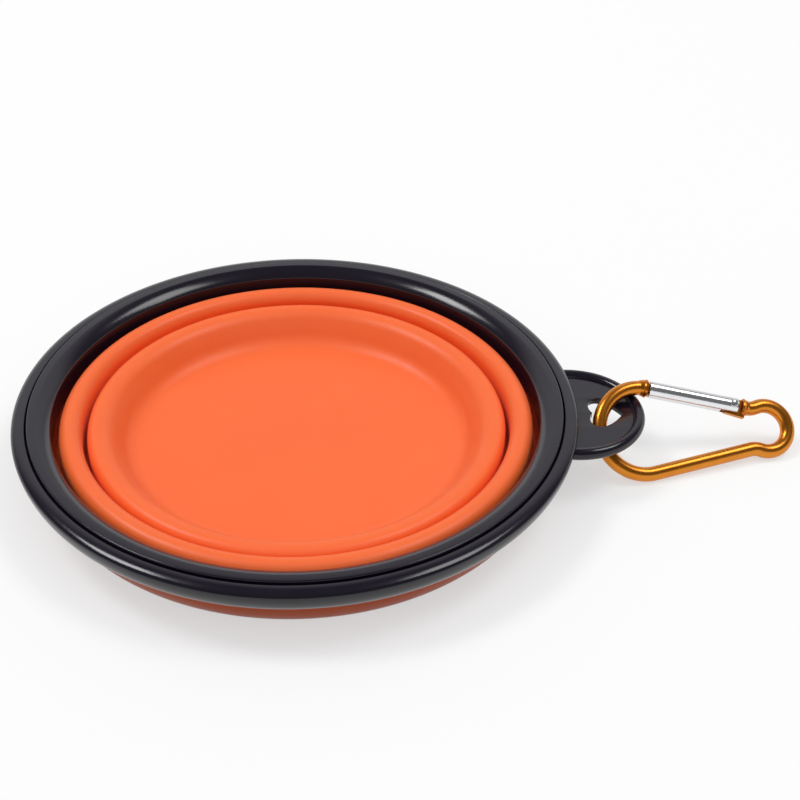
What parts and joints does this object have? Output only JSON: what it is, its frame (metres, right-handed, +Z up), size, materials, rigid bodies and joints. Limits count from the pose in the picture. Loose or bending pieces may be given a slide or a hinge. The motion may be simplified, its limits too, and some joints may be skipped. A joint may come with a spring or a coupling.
{
  "type": "collapsible pet bowl",
  "caption": "Collapsible pet travel bowl, folded flat: a soft pleated bowl in a hard round rim, with a hang tab and a spring-gate snap hook.",
  "frame": {"origin": "centre of the bowl's flat underside, on the table it stands on", "axes": "+Z up along the bowl's axis, +X from the bowl's axis towards the hang tab and the snap hook"},
  "size_m": [0.1822, 0.13, 0.0167],
  "materials": {
    "silicone": "satin moulded silicone",
    "rim_plastic": "glossy moulded plastic",
    "hook_metal": "gold anodised",
    "gate_metal": "bright satin",
    "steel": "plain"
  },
  "bodies": {
    "base": {"base_cup": "silicone", "inner_fold": "silicone"},
    "middle": {"middle_wall": "silicone", "outer_fold": "silicone"},
    "rim": {"rim_wall": "silicone", "clamp_ring": "rim_plastic", "rim_hoop": "rim_plastic"},
    "hook": {"hook_frame": "hook_metal", "gate_rivet": "steel"},
    "gate": {"hook_gate": "gate_metal", "gate_spring": "steel"},
    "plunger": {"gate_plunger": "steel"}
  },
  "joints": [
    {"name": "inner_fold_travel", "type": "slide", "parent": "base", "child": "middle", "axis": [0, 0, 1], "range_m": [0, 0.016], "deforming": ["inner_fold"]},
    {"name": "outer_fold_travel", "type": "slide", "parent": "middle", "child": "rim", "axis": [0, 0, 1], "range_m": [0, 0.0194], "deforming": ["outer_fold"]},
    {"name": "hook_swivel", "type": "hinge", "parent": "rim", "child": "hook", "pos_m": [0.07, -0.0012, 0.0113], "axis": [0, 0, 1], "range_deg": [-20, 15]},
    {"name": "gate_open", "type": "hinge", "parent": "hook", "child": "gate", "pos_m": [0.10197, 0.00628, 0.00964], "axis": [0.1846, -0.6194, 0.763], "range_deg": [0, 32], "stiffness_Nm_per_rad": 0.03, "springref_deg": -45.84},
    {"name": "plunger_travel", "type": "slide", "parent": "gate", "child": "plunger", "axis": [-0.9736, -0.009, 0.2283], "range_m": [0, 0.000508], "deforming": ["gate_spring"]}
  ],
  "couplings": [
    {"joint": "gate_open", "follows": "plunger_travel", "rad_per_m": 1099}
  ]
}
